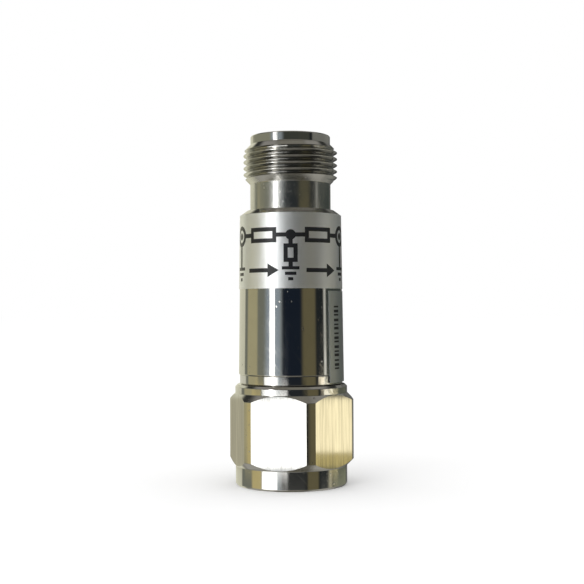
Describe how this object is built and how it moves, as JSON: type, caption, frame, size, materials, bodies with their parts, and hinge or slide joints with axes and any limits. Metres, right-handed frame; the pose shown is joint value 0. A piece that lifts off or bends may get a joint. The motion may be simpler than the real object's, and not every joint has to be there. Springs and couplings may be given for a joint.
{
  "type": "coaxial fixed attenuator",
  "caption": "Straight coaxial attenuator: a tubular body with a threaded jack at one end and a plug with a hexagonal coupling nut at the other, to lower a radio signal's level.",
  "frame": {"origin": "centre of the coupling nut's open face, on which the part stands", "axes": "+Z along the axis from the plug to the jack, -Y towards the side the picture shows"},
  "size_m": [0.0208, 0.0206, 0.0587],
  "materials": {
    "polished_metal": "polished",
    "spring_steel": "satin",
    "gold_plate": "polished",
    "bush_brass": "satin",
    "bead_plastic": "satin",
    "gasket_rubber": "matte",
    "card_ceramic": "matte",
    "carrier_metal": "satin",
    "label_film": "satin"
  },
  "bodies": {
    "body": {"plug_shell": "polished_metal", "outer_contact": "gold_plate", "centre_pin": "gold_plate", "plug_bead": "bead_plastic", "plug_bead_bush": "bush_brass", "plug_tab": "gold_plate", "gasket": "gasket_rubber", "attenuator_card": "card_ceramic", "carrier_front": "carrier_metal", "carrier_rear": "carrier_metal", "jack_tab": "gold_plate", "body_tube": "polished_metal", "jack_shell": "polished_metal", "socket_contact": "gold_plate", "jack_bead": "bead_plastic", "jack_bead_bush": "bush_brass", "rating_label": "label_film", "serial_label": "label_film"},
    "nut_ring": {"retaining_ring": "spring_steel"},
    "nut": {"coupling_nut": "polished_metal"}
  },
  "joints": [
    {"name": "nut_float", "type": "slide", "parent": "body", "child": "nut_ring", "axis": [0, 0, -1], "range_m": [0, 0.0004]},
    {"name": "nut_spin", "type": "hinge", "parent": "nut_ring", "child": "nut", "pos_m": [0, 0, 0.0084], "axis": [0, 0, 1], "continuous": true}
  ]
}
